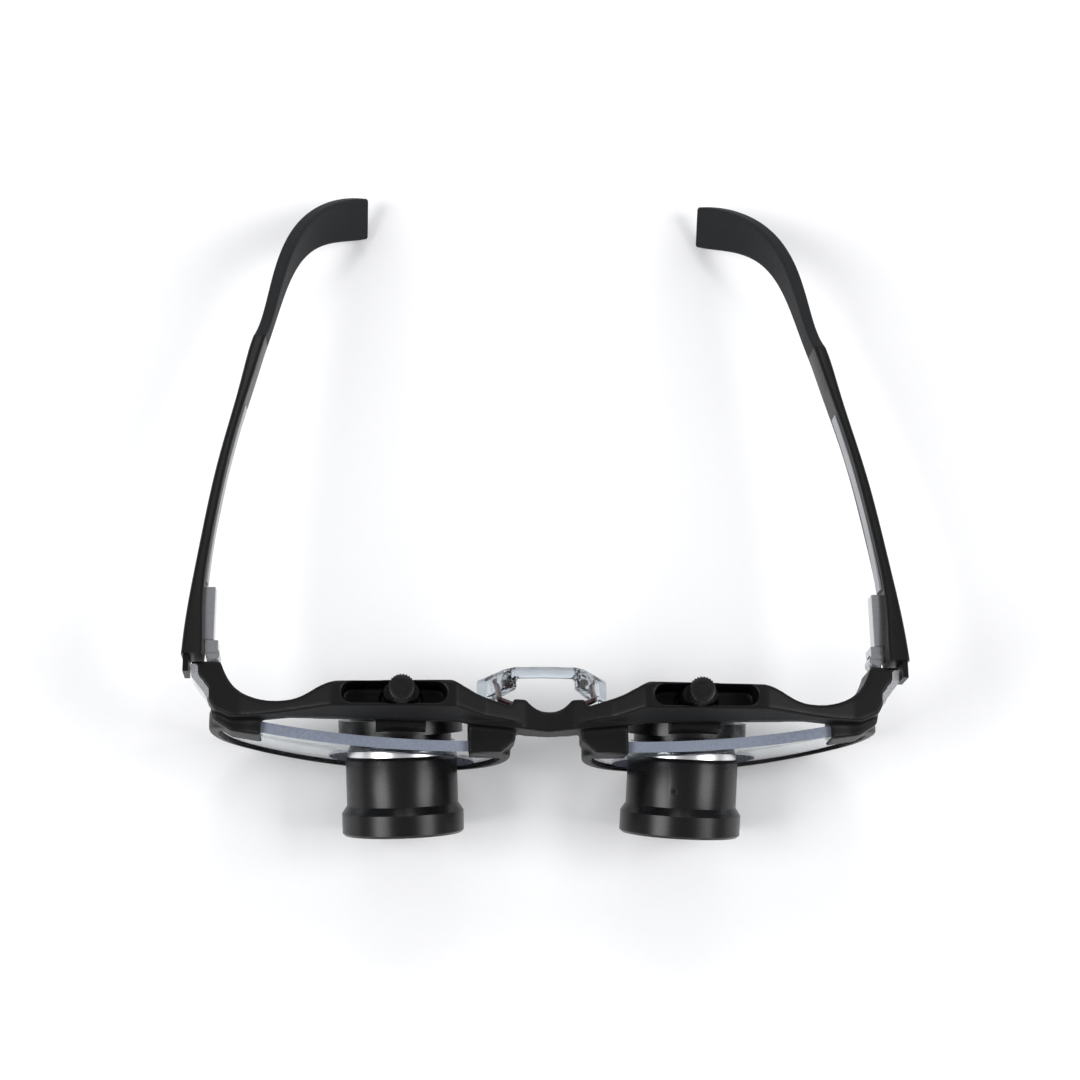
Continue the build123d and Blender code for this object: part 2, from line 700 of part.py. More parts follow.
with BuildPart() as barrel_tube:
    turned([
        (barrel_station, thread_radius),
        (housing_front + running_fit, thread_radius),
        (housing_front + running_fit, barrel_bore),
        (ring_rear + spigot_length, barrel_bore),
        (ring_rear + spigot_length, spigot_radius),
        (ring_rear, spigot_radius),
        (ring_rear, barrel_radius),
        (barrel_station + barrel_chamfer, barrel_radius),
        (barrel_station, barrel_radius - barrel_chamfer / 2),
    ])
with BuildPart() as right_barrel_tube:
    mirror(barrel_tube.part, about=Plane.YZ)
save(right_barrel_tube, "right_barrel_tube")

# A set screw stands in the left barrel only, square to its surface and short of its bore.
screw_depth = 1.1
screw_sink = 0.15
screw_lean = asin(set_screw_offset / barrel_radius)
barrel_up = across.cross(aim) if across.cross(aim).Z > 0 else aim.cross(across)
screw_way = barrel_up * cos(screw_lean) - across * sin(screw_lean)
screw_foot = eye_point + aim * set_screw_station + screw_way * (barrel_radius - screw_depth)
screw_plane = Plane(origin=screw_foot, x_dir=aim, z_dir=screw_way)

with BuildPart() as left_barrel_tube:
    add(barrel_tube.part)
    with BuildSketch(screw_plane) as screw_hole:
        Circle(set_screw_radius)
    extrude(screw_hole.sketch, amount=2 * screw_depth, mode=Mode.SUBTRACT)
save(left_barrel_tube, "left_barrel_tube")

with BuildPart() as left_barrel_set_screw:
    with BuildSketch(screw_plane):
        Circle(set_screw_radius - retainer_fit)
    extrude(amount=screw_depth - screw_sink)
    with BuildSketch(screw_plane.offset(screw_depth - screw_sink)):
        RegularPolygon(radius=set_screw_radius / 2, side_count=6)
    extrude(amount=-screw_depth / 2, mode=Mode.SUBTRACT)
save(left_barrel_set_screw, "left_barrel_set_screw")

with BuildPart() as field_stop:
    collar(stop_station, stop_station + stop_thickness, barrel_bore - retainer_fit, stop_bore)
save_pair(field_stop, "field_stop")

with BuildPart() as front_ring:
    turned([
        (ring_rear + seat_gap, spigot_radius + running_fit),
        (cell_ledge, spigot_radius + running_fit),
        (cell_ledge, cell_radius - ledge_width),
        (cell_seat, cell_radius - ledge_width),
        (cell_seat, cell_radius),
        (front_station, cell_radius),
        (front_station, front_ring_radius - front_ring_chamfer),
        (front_station - front_ring_chamfer, front_ring_radius),
        (front_station - front_ring_length, front_ring_radius),
        (ring_rear + seat_gap, barrel_radius),
    ])
save_pair(front_ring, "front_ring")

glass_radius = cell_radius - glass_fit
cement_edge = cell_seat + 1.1
cement_bulge = -0.6
cement_gap = 0.03

with BuildPart() as objective_flint:
    glass(cell_seat + seat_gap, 0, cement_edge, cement_bulge, glass_radius)
save_pair(objective_flint, "objective_flint")

with BuildPart() as objective_crown:
    glass(cement_edge + cement_gap, cement_bulge, retainer_rear - 0.25, 0.9, glass_radius)
save_pair(objective_crown, "objective_crown")

with BuildPart() as objective_retainer:
    collar(retainer_rear, retainer_front, cell_radius - retainer_fit, retainer_bore)
save_pair(objective_retainer, "objective_retainer")

# ---------------------------------------------------------------- temples

# Sections of the arm: distance behind the hinge line, inset of the centre from the end piece's
# outer face, thickness.
arm_sections = [
    (butt_gap, 0.2, 4.2),
    (7.0, 0.3, 3.7),
    (15.0, 0.6, 2.7),
    (28.0, 2.0, 2.2),
    (42.0, 4.0, 2.1),
    (58.0, 7.2, 2.1),
    (66.0, 8.9, 2.5),
    (seam_back, seam_inset, seam_thickness),
]
arm_corner = 0.8
tab_root = 2.0                  # how far the tab is rooted in the arm


def shaft_plane(back, inset):
    """Upright plane across the shaft, on its sloping centre line."""
    drop = back * tan(radians(temple_slope))
    centre = (end_piece_x - inset, hinge_y + back, temple_z - drop)
    return Plane(origin=centre, x_dir=(1, 0, 0), z_dir=(0, 1, 0))


# The spring's housing is sunk in the arm; the slider's stem runs in it and carries the outer knuckles.
housing_offset = 1.3            # outwards from the pin axis
housing_x = pin_x + housing_offset
housing_front_y = hinge_y + 5.2
housing_length = 11.0
housing_width = 2.8
housing_height = 3.6
housing_end_wall = 1.5
spring_bore = 1.1
housing_y = housing_front_y + housing_length / 2
pin_line_y = hinge_y + pin_y

with BuildPart() as spring_housing:
    with Locations((housing_x, housing_y, hinge_z)):
        Box(housing_width, housing_length, housing_height)
    fillet(spring_housing.edges().filter_by(Axis.Y), 0.3)
    with BuildSketch(Plane.XZ.offset(-housing_front_y)) as bore:
        with Locations((housing_x, hinge_z)):
            Circle(spring_bore)
    extrude(bore.sketch, amount=housing_end_wall - housing_length, mode=Mode.SUBTRACT)
save_pair(spring_housing, "spring_housing")

gap_height = knuckle_height + 2 * knuckle_gap
slider_height = gap_height + 2 * ear_height
slider_rear_y = housing_front_y - 0.3
slider_inner_x = pin_x - 1.0
slider_outer_x = pin_x + 1.6
stem_radius = 0.5
stem_length = 6.5

with BuildPart() as hinge_slider:
    with BuildSketch(Plane.XY.offset(hinge_z - slider_height / 2)) as ears:
        with Locations((pin_x, pin_line_y)):
            Circle(knuckle_radius)
        with Locations(((slider_inner_x + slider_outer_x) / 2, (pin_line_y + slider_rear_y) / 2)):
            Rectangle(slider_outer_x - slider_inner_x, slider_rear_y - pin_line_y)
    extrude(ears.sketch, amount=slider_height)
    with BuildSketch(Plane.XY.offset(hinge_z - gap_height / 2)) as gap:
        with Locations((pin_x, pin_line_y)):
            Circle(knuckle_radius + 0.3)
    extrude(gap.sketch, amount=gap_height, mode=Mode.SUBTRACT)
    with BuildSketch(Plane.XZ.offset(-slider_rear_y)) as stem:
        with Locations((housing_x, hinge_z)):
            Circle(stem_radius)
    extrude(stem.sketch, amount=-stem_length)
    with BuildSketch(Plane.XY.offset(hinge_z - slider_height)) as pin_hole:
        with Locations((pin_x, pin_line_y)):
            Circle(pin_radius)
    extrude(pin_hole.sketch, amount=2 * slider_height, mode=Mode.SUBTRACT)
save_pair(hinge_slider, "hinge_slider")

screw_head_radius = 1.25
screw_head_height = 0.7
screw_slot_width = 0.35
screw_slot_depth = 0.3

with BuildPart() as hinge_screw:
    with BuildSketch(Plane.XY.offset(hinge_z - slider_height / 2)):
        with Locations((pin_x, pin_line_y)):
            Circle(pin_radius)
    extrude(amount=slider_height)
    with BuildSketch(Plane.XY.offset(hinge_z + slider_height / 2)):
        with Locations((pin_x, pin_line_y)):
            Circle(screw_head_radius)
    extrude(amount=screw_head_height)
    with Locations((pin_x, pin_line_y, hinge_z + slider_height / 2 + screw_head_height)):
        Box(3 * screw_head_radius, screw_slot_width, 2 * screw_slot_depth, mode=Mode.SUBTRACT)
save_pair(hinge_screw, "hinge_screw")

spring_coil = 0.75
spring_wire = 0.14
spring_length = 4.8

with BuildPart() as hinge_spring:
    spring_foot = (housing_x, housing_front_y + 1.0, hinge_z)
    with BuildLine() as coil:
        Helix(pitch=0.6, height=spring_length, radius=spring_coil, center=spring_foot, direction=(0, 1, 0))
    with BuildSketch(Plane(origin=coil.line @ 0, z_dir=coil.line % 0)) as wire:
        Circle(spring_wire)
    sweep(wire.sketch, path=coil.line, is_frenet=True)
save_pair(hinge_spring, "hinge_spring")

tang_from = seam_back - 9.0
tang_to = seam_back + 9.0
tang_size = (0.9, 3.0)

with BuildPart() as temple_tang:
    for back, inset in ((tang_from, 8.85), (tang_to, 12.75)):
        with BuildSketch(shaft_plane(back, inset)):
            Rectangle(*tang_size)
    loft()
save_pair(temple_tang, "temple_tang")

liner_size = (0.7, 3.2)
liner_sections = [(17.0, 2.08), (28.0, 2.95), (42.0, 4.9), (58.0, 8.1)]
with BuildPart() as temple_liner:
    for back, inset in liner_sections:
        with BuildSketch(shaft_plane(back, inset)):
            Rectangle(*liner_size)
    loft()
save_pair(temple_liner, "temple_liner")

with BuildPart() as temple_arm:
    for back, inset, thickness in arm_sections:
        with BuildSketch(shaft_plane(back, inset)):
            RectangleRounded(thickness, temple_height, arm_corner)
    loft()
    tab_inner_x = end_piece_x + tab_gap
    with Locations((tab_inner_x + tab_thickness / 2, hinge_y + (tab_root - tab_reach) / 2, temple_z)):
        Box(tab_thickness, tab_root + tab_reach, temple_height - 2 * arm_corner)
    with Locations((housing_x, housing_y, hinge_z)):
        Box(housing_width, housing_length, housing_height, mode=Mode.SUBTRACT)
    for piece in (temple_liner, temple_tang):
        add(piece.part, mode=Mode.SUBTRACT)
save_pair(temple_arm, "temple_arm")

tip_path = tip_centres(Vector(seam_x, hinge_y + seam_back, seam_z))
with BuildPart() as temple_tip:
    for i, centre in enumerate(tip_path):
        way = tip_direction(tip_inward[i], tip_downward[i])
        height_way = Vector(0, sin(radians(tip_downward[i])), cos(radians(tip_downward[i])))
        height = temple_height + (tip_height - temple_height) * tip_swell[i]
        thickness = seam_thickness + (tip_thickness - seam_thickness) * tip_swell[i]
        if i == 0:
            way = Vector(0, 1, 0)
            height_way = Vector(0, 0, 1)
            centre = centre + Vector(0, 0.05, 0)
        with BuildSketch(Plane(origin=centre, x_dir=height_way, z_dir=way)):
            RectangleRounded(height, thickness, arm_corner)
    loft()
    add(temple_tang.part, mode=Mode.SUBTRACT)
save_pair(temple_tip, "temple_tip")
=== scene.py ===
import json
from math import cos, pi, radians, sin, sqrt

import bmesh
import bpy
from mathutils import Matrix, Vector


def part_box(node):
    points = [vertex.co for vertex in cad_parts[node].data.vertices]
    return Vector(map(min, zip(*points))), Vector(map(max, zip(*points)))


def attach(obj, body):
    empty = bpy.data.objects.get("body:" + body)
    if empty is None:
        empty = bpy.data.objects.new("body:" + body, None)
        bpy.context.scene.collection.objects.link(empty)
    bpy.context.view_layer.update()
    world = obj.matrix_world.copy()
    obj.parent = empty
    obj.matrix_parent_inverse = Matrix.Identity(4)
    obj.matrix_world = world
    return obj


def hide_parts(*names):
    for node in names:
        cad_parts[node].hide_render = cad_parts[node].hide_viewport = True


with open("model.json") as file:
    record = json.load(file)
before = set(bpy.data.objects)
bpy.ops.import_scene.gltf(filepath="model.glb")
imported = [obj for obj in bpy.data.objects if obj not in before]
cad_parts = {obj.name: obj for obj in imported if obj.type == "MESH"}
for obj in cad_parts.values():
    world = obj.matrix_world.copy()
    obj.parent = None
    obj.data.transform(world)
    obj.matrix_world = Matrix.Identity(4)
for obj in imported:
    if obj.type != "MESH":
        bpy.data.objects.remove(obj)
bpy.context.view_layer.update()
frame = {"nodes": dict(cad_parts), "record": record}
nodes = frame["nodes"]
mounts = {m["name"]: m for m in frame["record"]["mounts"]}
mm = 0.001
sides = ("left", "right")
creaseAngle = {"turned": 32, "lens": 40, "wire": 60}    # edges sharper than this stay sharp


def linear(hexColour):
    # sRGB hex to the linear values that shaders use
    out = []
    for i in (1, 3, 5):
        c = int(hexColour[i:i + 2], 16) / 255
        out.append(c / 12.92 if c <= 0.04045 else ((c + 0.055) / 1.055) ** 2.4)
    return (*out, 1.0)


def addNode(tree, kind, settings=None, values=None, links=None):
    # one node, with its settings, its plain values and what feeds it
    n = tree.nodes.new(kind)
    for key, value in (settings or {}).items():
        setattr(n, key, value)
    for key, value in (values or {}).items():
        n.inputs[key].default_value = value
    for key, source in (links or {}).items():
        tree.links.new(source, n.inputs[key])
    return n


def startMaterial(name, values):
    # new material with values on its shader, and the object's own coordinates
    mat = bpy.data.materials.new(name)
    mat.use_nodes = True
    tree = mat.node_tree
    shader = tree.nodes["Principled BSDF"]
    for key, value in values.items():
        shader.inputs[key].default_value = value
    coords = addNode(tree, "ShaderNodeTexCoord").outputs["Object"]
    return mat, tree, shader, coords


noiseLook = {"roughness": 0.55, "low": 0.3, "high": 0.7}    # most of the noise lies from low to high


def grain(tree, coords, sizeMm, detail=3.0):
    # noise whose grains are about sizeMm across
    return addNode(
        tree, "ShaderNodeTexNoise",
        values={"Scale": 1 / (sizeMm * mm), "Detail": detail, "Roughness": noiseLook["roughness"]},
        links={"Vector": coords},
    ).outputs["Fac"]


def spread(tree, source, low, high):
    # noise stretched to run from low to high
    return addNode(
        tree, "ShaderNodeMapRange",
        values={"From Min": noiseLook["low"], "From Max": noiseLook["high"], "To Min": low, "To Max": high},
        links={"Value": source},
    ).outputs["Result"]


def tint(tree, source, dark, light):
    # two close colours, mixed by the noise
    return addNode(
        tree, "ShaderNodeMix", {"data_type": "RGBA"},
        {6: linear(dark), 7: linear(light)}, {0: source},
    ).outputs[2]


def bump(tree, shader, height, depthMm):
    relief = addNode(
        tree, "ShaderNodeBump",
        values={"Strength": 1.0, "Distance": depthMm * mm}, links={"Height": height},
    )
    tree.links.new(relief.outputs["Normal"], shader.inputs["Normal"])


def mouldedPlastic(name, look):
    # injection-moulded nylon: a fine spark-eroded texture that breaks up the shine
    mat, tree, shader, coords = startMaterial(name, {
        "IOR": 1.53, "Metallic": 0.0, "Specular IOR Level": look["shine"]})
    fine = grain(tree, coords, look["grainMm"])
    broad = grain(tree, coords, look["cloudMm"], detail=2.0)
    tree.links.new(tint(tree, broad, look["dark"], look["light"]), shader.inputs["Base Color"])
    tree.links.new(spread(tree, fine, look["roughLow"], look["roughHigh"]), shader.inputs["Roughness"])
    bump(tree, shader, fine, look["bumpMm"])
    return mat


def turnedMetal(name, look, side=None):
    # turned and anodised aluminium: cutting lines run round the barrel's axis
    mat, tree, shader, coords = startMaterial(name, {
        "Metallic": look["metallic"], "Specular IOR Level": look["shine"]})
    fine = grain(tree, coords, look["grainMm"])
    if side:
        aim = Vector(mounts[side + "_front_ring_cap"]["axis"])
        turn = aim.to_track_quat("X", "Z").to_matrix().inverted().to_euler()
        alongAim = addNode(tree, "ShaderNodeMapping", values={"Rotation": turn}, links={"Vector": coords})
        lines = addNode(
            tree, "ShaderNodeTexNoise", {"noise_dimensions": "1D"},
            {"Scale": 1 / (look["lineMm"] * mm), "Detail": 2.0},
        )
        split = addNode(tree, "ShaderNodeSeparateXYZ", links={"Vector": alongAim.outputs["Vector"]})
        tree.links.new(split.outputs["X"], lines.inputs["W"])
        fine = addNode(
            tree, "ShaderNodeMath", {"operation": "MULTIPLY_ADD"}, {1: look["lineShare"]},
            {0: lines.outputs["Fac"], 2: fine},
        ).outputs["Value"]
    tree.links.new(tint(tree, fine, look["dark"], look["light"]), shader.inputs["Base Color"])
    tree.links.new(spread(tree, fine, look["roughLow"], look["roughHigh"]), shader.inputs["Roughness"])
    bump(tree, shader, fine, look["bumpMm"])
    return mat


# spark-eroded nylon: deep black, with only a wide soft sheen along the bar
frameNylon = mouldedPlastic("matte_moulded_nylon_black", {
    "dark": "#060607", "light": "#0b0b0c", "grainMm": 0.35, "cloudMm": 9,
    "roughLow": 0.38, "roughHigh": 0.5, "bumpMm": 0.012, "shine": 0.2,
})
# smoother tooling on the arms: a narrower, longer glint than the front's
armNylon = mouldedPlastic("satin_moulded_nylon_black", {
    "dark": "#060607", "light": "#0b0b0c", "grainMm": 0.3, "cloudMm": 12,
    "roughLow": 0.3, "roughHigh": 0.42, "bumpMm": 0.006, "shine": 0.22,
})
# overmoulded rubber: a shade lighter than the arm and almost without shine
tipRubber = mouldedPlastic("soft_touch_rubber_charcoal", {
    "dark": "#18191a", "light": "#1e1f21", "grainMm": 0.4, "cloudMm": 8,
    "roughLow": 0.58, "roughHigh": 0.72, "bumpMm": 0.01, "shine": 0.2,
})
# acetal under the slots: dull, so the slot still reads as a dark opening
slideAcetal = mouldedPlastic("machined_acetal_black", {
    "dark": "#050506", "light": "#09090a", "grainMm": 0.3, "cloudMm": 3,
    "roughLow": 0.35, "roughHigh": 0.5, "bumpMm": 0.006, "shine": 0.2,
})
# liner inside each arm: a pale line with a smooth, slightly pearly face, painted to stand for the
# reflection of the white surroundings along the arm's inner face
linerPaintedReflection = mouldedPlastic("liner_grey_painted_reflection", {
    "dark": "#8f9194", "light": "#a3a5a8", "grainMm": 0.25, "cloudMm": 6,
    "roughLow": 0.28, "roughHigh": 0.38, "bumpMm": 0.003, "shine": 0.5,
})
# turned and anodised barrel: light stands in two soft bands that run along it
anodised = {
    "dark": "#050506", "light": "#0c0c0e", "metallic": 0.0, "grainMm": 0.22, "lineMm": 0.16,
    "lineShare": 0.5, "roughLow": 0.2, "roughHigh": 0.3, "bumpMm": 0.004, "shine": 0.32,
}
barrelMetal = {s: turnedMetal("black_anodised_aluminium_" + s, anodised, s) for s in sides}
# blasted before anodising: a flat top, with small glints left on the knurls
knobLook = {**anodised, "roughLow": 0.3, "roughHigh": 0.44}
knobMetal = turnedMetal("blasted_black_anodised_aluminium", knobLook)
# bare polished ring: bright and nearly white between two black parts
ringLook = {
    "dark": "#c6c8cb", "light": "#ececee", "metallic": 1.0, "grainMm": 0.3, "lineMm": 0.25,
    "lineShare": 0.8, "roughLow": 0.18, "roughHigh": 0.3, "bumpMm": 0.002, "shine": 0.5,
}
ringMetal = {s: turnedMetal("polished_turned_aluminium_" + s, ringLook, s) for s in sides}
# satin plating on the end pieces: an even pale silver with no sharp reflections
trimMetal = turnedMetal("satin_plated_trim", {
    "dark": "#d2d3d6", "light": "#e6e7e9", "metallic": 1.0, "grainMm": 0.2,
    "roughLow": 0.24, "roughHigh": 0.36, "bumpMm": 0.003, "shine": 0.5,
})
# nickel-plated hinge steel: bright stamped edges and small soft reflections
hingeSteel = turnedMetal("plated_hinge_steel", {
    "dark": "#b4b5b8", "light": "#cfd0d3", "metallic": 1.0, "grainMm": 0.15,
    "roughLow": 0.16, "roughHigh": 0.3, "bumpMm": 0.003, "shine": 0.5,
})
# black oxide: a dark grey film with a thin steely glint
darkSteel = turnedMetal("black_oxide_steel", {
    "dark": "#1d1d20", "light": "#2c2c2f", "metallic": 0.8, "grainMm": 0.15,
    "roughLow": 0.3, "roughHigh": 0.42, "bumpMm": 0.003, "shine": 0.5,
})
# drawn wire and strip: mid-grey steel, a little streaky
springSteel = turnedMetal("drawn_spring_steel", {
    "dark": "#7d7e81", "light": "#97989b", "metallic": 1.0, "grainMm": 0.2,
    "roughLow": 0.22, "roughHigh": 0.35, "bumpMm": 0.002, "shine": 0.5,
})
# baffle paint: swallows the light inside the barrel
baffleBlack = mouldedPlastic("flat_baffle_black", {
    "dark": "#040404", "light": "#080808", "grainMm": 0.2, "cloudMm": 2,
    "roughLow": 0.8, "roughHigh": 0.9, "bumpMm": 0.01, "shine": 0.1,
})
# lacquered wire: dark maroon that shows through the clear saddle
padWire = mouldedPlastic("dark_lacquered_wire", {
    "dark": "#2a0f12", "light": "#3a1519", "grainMm": 0.2, "cloudMm": 2,
    "roughLow": 0.2, "roughHigh": 0.3, "bumpMm": 0.002, "shine": 0.5,
})


def clearMaterial(name, look):
    # clear moulded or ground material; a coating's thin film gives the faint coloured sheen
    mat, tree, shader, coords = startMaterial(name, {
        "Base Color": linear(look["colour"]), "Transmission Weight": 1.0, "IOR": look["ior"],
        "Thin Film Thickness": look["filmNm"], "Thin Film IOR": 1.38,
    })
    haze = grain(tree, coords, look["grainMm"], detail=2.0)
    tree.links.new(spread(tree, haze, look["roughLow"], look["roughHigh"]), shader.inputs["Roughness"])
    if look["bumpMm"]:
        bump(tree, shader, haze, look["bumpMm"])
    return mat


# hard-coated polycarbonate: clear, with a faint coloured sheen where it turns away
carrierPlastic = clearMaterial("coated_polycarbonate_clear", {
    "colour": "#f3fafa", "ior": 1.45, "filmNm": 420, "grainMm": 30,
    "roughLow": 0.0, "roughHigh": 0.01, "bumpMm": 0,
})
# moulded silicone: clear but slightly rippled, so its edges draw grey lines
saddleSilicone = clearMaterial("moulded_silicone_clear", {
    "colour": "#ccd4db", "ior": 1.45, "filmNm": 0, "grainMm": 2.4,
    "roughLow": 0.02, "roughHigh": 0.08, "bumpMm": 0.14,
})
# coated glass: dark pupil of the barrel with a greenish reflection
opticalGlass = clearMaterial("coated_optical_glass", {
    "colour": "#eef6f4", "ior": 1.52, "filmNm": 520, "grainMm": 20,
    "roughLow": 0.0, "roughHigh": 0.005, "bumpMm": 0,
})
# edge faces of the carrier lens: an opaque grey-blue band
lensEdgeBand = mouldedPlastic("grey_blue_lens_edge_band", {
    "dark": "#6c7383", "light": "#8f96a6", "grainMm": 0.8, "cloudMm": 10,
    "roughLow": 0.2, "roughHigh": 0.35, "bumpMm": 0.004, "shine": 0.5,
})
print("materials made")


def paint(thing, mat):
    # this material and no other
    thing.data.materials.clear()
    thing.data.materials.append(mat)


def smoothShade(thing, angle=creaseAngle["turned"]):
    # smooth, apart from edges sharper than the angle
    bm = bmesh.new()
    bm.from_mesh(thing.data)
    for f in bm.faces:
        f.smooth = True
    for e in bm.edges:
        if len(e.link_faces) == 2:
            e.smooth = e.calc_face_angle(0) < radians(angle)
    bm.to_mesh(thing.data)
    bm.free()


def cadCopy(node, name, joinMm=0.002):
    # closed copy of a CAD node, with its loose triangles joined
    piece = bpy.data.objects.new(name, nodes[node].data.copy())
    bpy.context.scene.collection.objects.link(piece)
    bm = bmesh.new()
    bm.from_mesh(piece.data)
    bmesh.ops.remove_doubles(bm, verts=bm.verts, dist=joinMm * mm)
    bmesh.ops.recalc_face_normals(bm, faces=bm.faces)
    bm.to_mesh(piece.data)
    bm.free()
    return piece


def applyModifiers(piece):
    # plain mesh in place of the modifiers
    graph = bpy.context.evaluated_depsgraph_get()
    graph.update()
    made = bpy.data.meshes.new_from_object(piece.evaluated_get(graph))
    piece.modifiers.clear()
    piece.data = made


def softened(piece, look):
    # even skin over the shape, then its edges worn down as a mould leaves them
    skin = piece.modifiers.new("skin", "REMESH")
    skin.mode = "VOXEL"
    skin.voxel_size = look["voxelMm"] * mm
    ease = piece.modifiers.new("ease", "SMOOTH")
    ease.factor = look["ease"]
    ease.iterations = look["passes"]
    if look["keep"] < 1:
        # fewer triangles once the skin is smooth
        thin = piece.modifiers.new("thin", "DECIMATE")
        thin.ratio = look["keep"]
    applyModifiers(piece)
    for f in piece.data.polygons:
        f.use_smooth = True


frontLook = {"voxelMm": 0.26, "ease": 0.5, "passes": 16, "keep": 0.5}
browFront = cadCopy("brow_frame", "brow_front")
softened(browFront, frontLook)
paint(browFront, frameNylon)
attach(browFront, "frame")
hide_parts("brow_frame")
print("frame front", len(browFront.data.polygons))

saddleLook = {"voxelMm": 0.3, "ease": 0.5, "passes": 14, "keep": 1}
noseSaddle = cadCopy("nose_pad", "nose_saddle")
softened(noseSaddle, saddleLook)
paint(noseSaddle, saddleSilicone)
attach(noseSaddle, "frame")
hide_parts("nose_pad")
print("nose saddle", len(noseSaddle.data.polygons))


def restore(node, mat, body, angle=creaseAngle["turned"]):
    # the CAD shape itself, with its curved faces smooth and its finish on
    piece = cadCopy(node, node + "_finish")
    smoothShade(piece, angle)
    paint(piece, mat)
    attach(piece, body)
    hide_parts(node)
    return piece


# faces turned further from the line of sight than this get the grey-blue edge band
edgeShare = 0.6

for side in sides:
    scope = side + "_telescope"
    for part in ("barrel_tube", "front_ring", "ocular_housing", "swivel_yoke",
                 "eyepiece_retainer", "objective_retainer"):
        restore(side + "_" + part, barrelMetal[side], scope)
    restore(side + "_lock_ring", ringMetal[side], scope)
    restore(side + "_field_stop", baffleBlack, scope)
    for part in ("eyepiece_lens", "objective_flint", "objective_crown"):
        restore(side + "_" + part, opticalGlass, scope, creaseAngle["lens"])
    lens = restore(side + "_carrier_lens", carrierPlastic, "frame",
                   creaseAngle["lens"])
    lens.data.materials.append(lensEdgeBand)
    for f in lens.data.polygons:
        f.material_index = int(abs(f.normal.y) < edgeShare)
    restore(side + "_trim_plate", trimMetal, "frame")
    restore(side + "_hinge_leaf", hingeSteel, "frame")
    temple = side + "_temple"
    restore(side + "_temple_arm", armNylon, temple)
    restore(side + "_temple_tip", tipRubber, temple)
    # the liner's pale grey is a painted reflection on the arm's inner face
    restore(side + "_temple_liner", linerPaintedReflection, temple)
    restore(side + "_temple_tang", springSteel, temple)
    restore(side + "_spring_housing", hingeSteel, temple)
    restore(side + "_hinge_slider", hingeSteel, temple)
    restore(side + "_hinge_screw", hingeSteel, temple)
    restore(side + "_hinge_spring", springSteel, temple, creaseAngle["wire"])
    restore(side + "_slide_carriage", slideAcetal, side + "_carriage")
    restore(side + "_clamp_washer", darkSteel, side + "_washer")
    restore(side + "_clamp_stud", springSteel, side + "_knob")
restore("pad_arms", padWire, "frame", creaseAngle["wire"])
restore("left_barrel_set_screw", darkSteel, "left_telescope")
print("telescopes, lenses and temples finished")


# thumb knob: turned core, dished top and straight knurls round its side
knurlLook = {
    "teeth": 26, "toothDepthMm": 0.22, "toothSpread": 1.3, "endGap": 2.4,
    "chamferMm": 0.3, "roundShare": 0.3, "dishMm": 0.12, "dishRim": 0.55, "dishFloor": 0.5,
    "boreGapMm": 0.02, "steps": 104,
}


def toothTree(mat):
    # one tooth on each point of a ring, turned to face outwards
    tree = bpy.data.node_groups.new("knurl_teeth", "GeometryNodeTree")
    face = tree.interface
    face.new_socket("Geometry", in_out="INPUT", socket_type="NodeSocketGeometry")
    teeth = face.new_socket("Teeth", in_out="INPUT", socket_type="NodeSocketInt")
    radius = face.new_socket("Radius", in_out="INPUT", socket_type="NodeSocketFloat")
    width = face.new_socket("Width", in_out="INPUT", socket_type="NodeSocketFloat")
    height = face.new_socket("Height", in_out="INPUT", socket_type="NodeSocketFloat")
    face.new_socket("Geometry", in_out="OUTPUT", socket_type="NodeSocketGeometry")
    start = addNode(tree, "NodeGroupInput")
    ring = addNode(tree, "GeometryNodeMeshCircle", {"fill_type": "NONE"},
                   links={"Vertices": start.outputs["Teeth"], "Radius": start.outputs["Radius"]})
    size = addNode(tree, "ShaderNodeCombineXYZ", links={
        "X": start.outputs["Width"], "Y": start.outputs["Width"], "Z": start.outputs["Height"]})
    tooth = addNode(tree, "GeometryNodeMeshCube", links={"Size": size.outputs["Vector"]})
    where = addNode(tree, "GeometryNodeInputPosition")
    outward = addNode(tree, "FunctionNodeAlignRotationToVector", {"axis": "X"},
                      links={"Vector": where.outputs["Position"]})
    edgeOut = addNode(tree, "FunctionNodeRotateRotation", {"rotation_space": "LOCAL"},
                      {"Rotate By": (0, 0, pi / 4)}, {"Rotation": outward.outputs["Rotation"]})
    copies = addNode(tree, "GeometryNodeInstanceOnPoints", links={
        "Points": ring.outputs["Mesh"], "Instance": tooth.outputs["Mesh"],
        "Rotation": edgeOut.outputs["Rotation"]})
    joined = addNode(tree, "GeometryNodeJoinGeometry")
    tree.links.new(start.outputs["Geometry"], joined.inputs["Geometry"])
    tree.links.new(copies.outputs["Instances"], joined.inputs["Geometry"])
    real = addNode(tree, "GeometryNodeRealizeInstances", links={"Geometry": joined.outputs["Geometry"]})
    finish = addNode(tree, "GeometryNodeSetMaterial", values={"Material": mat},
                     links={"Geometry": real.outputs["Geometry"]})
    end = addNode(tree, "NodeGroupOutput")
    tree.links.new(finish.outputs["Geometry"], end.inputs["Geometry"])
    return tree, {"teeth": teeth.identifier, "radius": radius.identifier,
                  "width": width.identifier, "height": height.identifier}


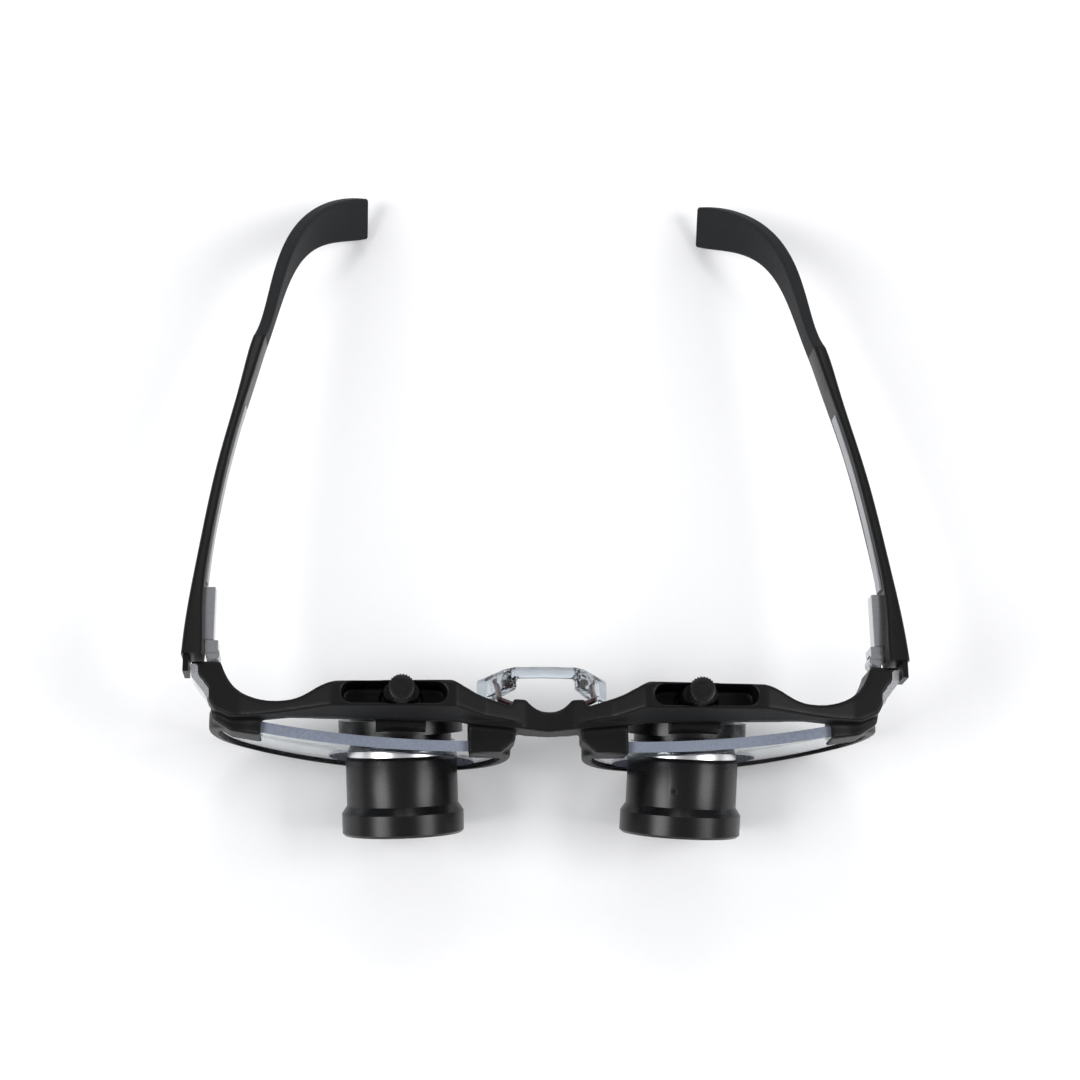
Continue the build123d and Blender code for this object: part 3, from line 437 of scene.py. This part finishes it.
def lathe(name, outline, steps):
    # closed turned shape about Z, from (radius, height) points that start and end on the axis
    mesh = bpy.data.meshes.new(name)
    piece = bpy.data.objects.new(name, mesh)
    bpy.context.scene.collection.objects.link(piece)
    bm = bmesh.new()
    rings = []
    for r, z in outline:
        if r == 0:
            rings.append([bm.verts.new((0, 0, z))] * steps)
        else:
            rings.append([bm.verts.new((r * cos(2 * pi * i / steps), r * sin(2 * pi * i / steps), z))
                          for i in range(steps)])
    for low, high in zip(rings, rings[1:]):
        for i in range(steps):
            j = (i + 1) % steps
            corners = []
            for v in (low[i], low[j], high[j], high[i]):
                if v not in corners:
                    corners.append(v)
            if len(corners) > 2:
                bm.faces.new(corners)
    bmesh.ops.recalc_face_normals(bm, faces=bm.faces)
    bm.to_mesh(mesh)
    bm.free()
    return piece


knurlGroup, knurlInputs = toothTree(knobMetal)
for side in sides:
    low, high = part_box(side + "_thumb_knob")
    middle = (Vector(low) + Vector(high)) / 2
    outer = (high[0] - low[0]) / 2
    half = (high[2] - low[2]) / 2
    core = outer - knurlLook["toothDepthMm"] * mm
    cut = knurlLook["chamferMm"] * mm
    dish = knurlLook["dishMm"] * mm
    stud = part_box(side + "_clamp_stud")
    bore = (stud[1][0] - stud[0][0]) / 2 + knurlLook["boreGapMm"] * mm
    boreTop = stud[1][2] - middle.z + knurlLook["boreGapMm"] * mm
    easedCut = cut * knurlLook["roundShare"]
    knob = lathe(side + "_knurled_knob", [
        (0, boreTop), (bore, boreTop), (bore, -half), (core - cut / 2, -half), (core, -half + cut / 2),
        (core, half - cut), (core - easedCut, half - easedCut), (core - cut, half),
        (core * knurlLook["dishRim"], half), (core * knurlLook["dishFloor"], half - dish),
        (0, half - dish),
    ], knurlLook["steps"])
    toothWidth = 2 * (outer - core) / sqrt(2) * knurlLook["toothSpread"]
    grip = knob.modifiers.new("grip", "NODES")
    grip.node_group = knurlGroup
    grip[knurlInputs["teeth"]] = knurlLook["teeth"]
    grip[knurlInputs["radius"]] = outer - toothWidth / sqrt(2)
    grip[knurlInputs["width"]] = toothWidth
    grip[knurlInputs["height"]] = 2 * half - knurlLook["endGap"] * cut
    applyModifiers(knob)
    knob.data.transform(Matrix.Translation(middle))
    smoothShade(knob)
    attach(knob, side + "_knob")
    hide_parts(side + "_thumb_knob")
print("knobs knurled")


# white paper under the loupes: nearly flat white, with no shine of its own
floorLook = {"size": 3.0, "grainMm": 2, "dark": "#f6f6f7", "light": "#f8f8f9", "rough": 0.9, "shine": 0.1}
floorMat, floorTree, floorShader, floorCoords = startMaterial("matte_white_paper", {
    "Roughness": floorLook["rough"], "Specular IOR Level": floorLook["shine"]})
paper = grain(floorTree, floorCoords, floorLook["grainMm"])
paperTint = tint(floorTree, paper, floorLook["dark"], floorLook["light"])
floorTree.links.new(paperTint, floorShader.inputs["Base Color"])
floorMesh = bpy.data.meshes.new("table_top")
reach = floorLook["size"] / 2
floorCorners = [(-reach, -reach, 0), (reach, -reach, 0), (reach, reach, 0), (-reach, reach, 0)]
floorMesh.from_pydata(floorCorners, [], [(0, 1, 2, 3)])
tableTop = bpy.data.objects.new("table_top", floorMesh)
bpy.context.scene.collection.objects.link(tableTop)
paint(tableTop, floorMat)

lights = {
    "left_softbox": {"at": (-0.75, -0.25, 0.75), "size": 0.5, "watts": 6.5},
    "right_softbox": {"at": (0.75, -0.15, 0.75), "size": 0.5, "watts": 5.5},
    "rear_softbox": {"at": (0.0, 0.85, 0.7), "size": 0.5, "watts": 3},
}
for name, look in lights.items():
    lampData = bpy.data.lights.new(name, "AREA")
    lampData.size = look["size"]
    lampData.energy = look["watts"]
    lamp = bpy.data.objects.new(name, lampData)
    lamp.location = look["at"]
    lamp.rotation_euler = (-Vector(look["at"])).to_track_quat("-Z", "Y").to_euler()
    bpy.context.scene.collection.objects.link(lamp)

skyLook = {"colour": "#f7f8fa", "strength": 0.4}
world = bpy.data.worlds.new("pale_room")
bpy.context.scene.world = world
world.use_nodes = True
sky = world.node_tree.nodes["Background"]
sky.inputs["Color"].default_value = linear(skyLook["colour"])
sky.inputs["Strength"].default_value = skyLook["strength"]

shot = {"at": (-0.0329, -0.1524, 0.4436), "turn": (18.42, -4.20, -0.57), "lens": 70.17, "sensor": 36}
cameraData = bpy.data.cameras.new("table_camera")
cameraData.lens = shot["lens"]
cameraData.sensor_width = shot["sensor"]
camera = bpy.data.objects.new("table_camera", cameraData)
camera.location = shot["at"]
camera.rotation_euler = [radians(a) for a in shot["turn"]]
bpy.context.scene.collection.objects.link(camera)
bpy.context.scene.camera = camera

bpy.context.scene.view_settings.view_transform = "Standard"
print("stage set")
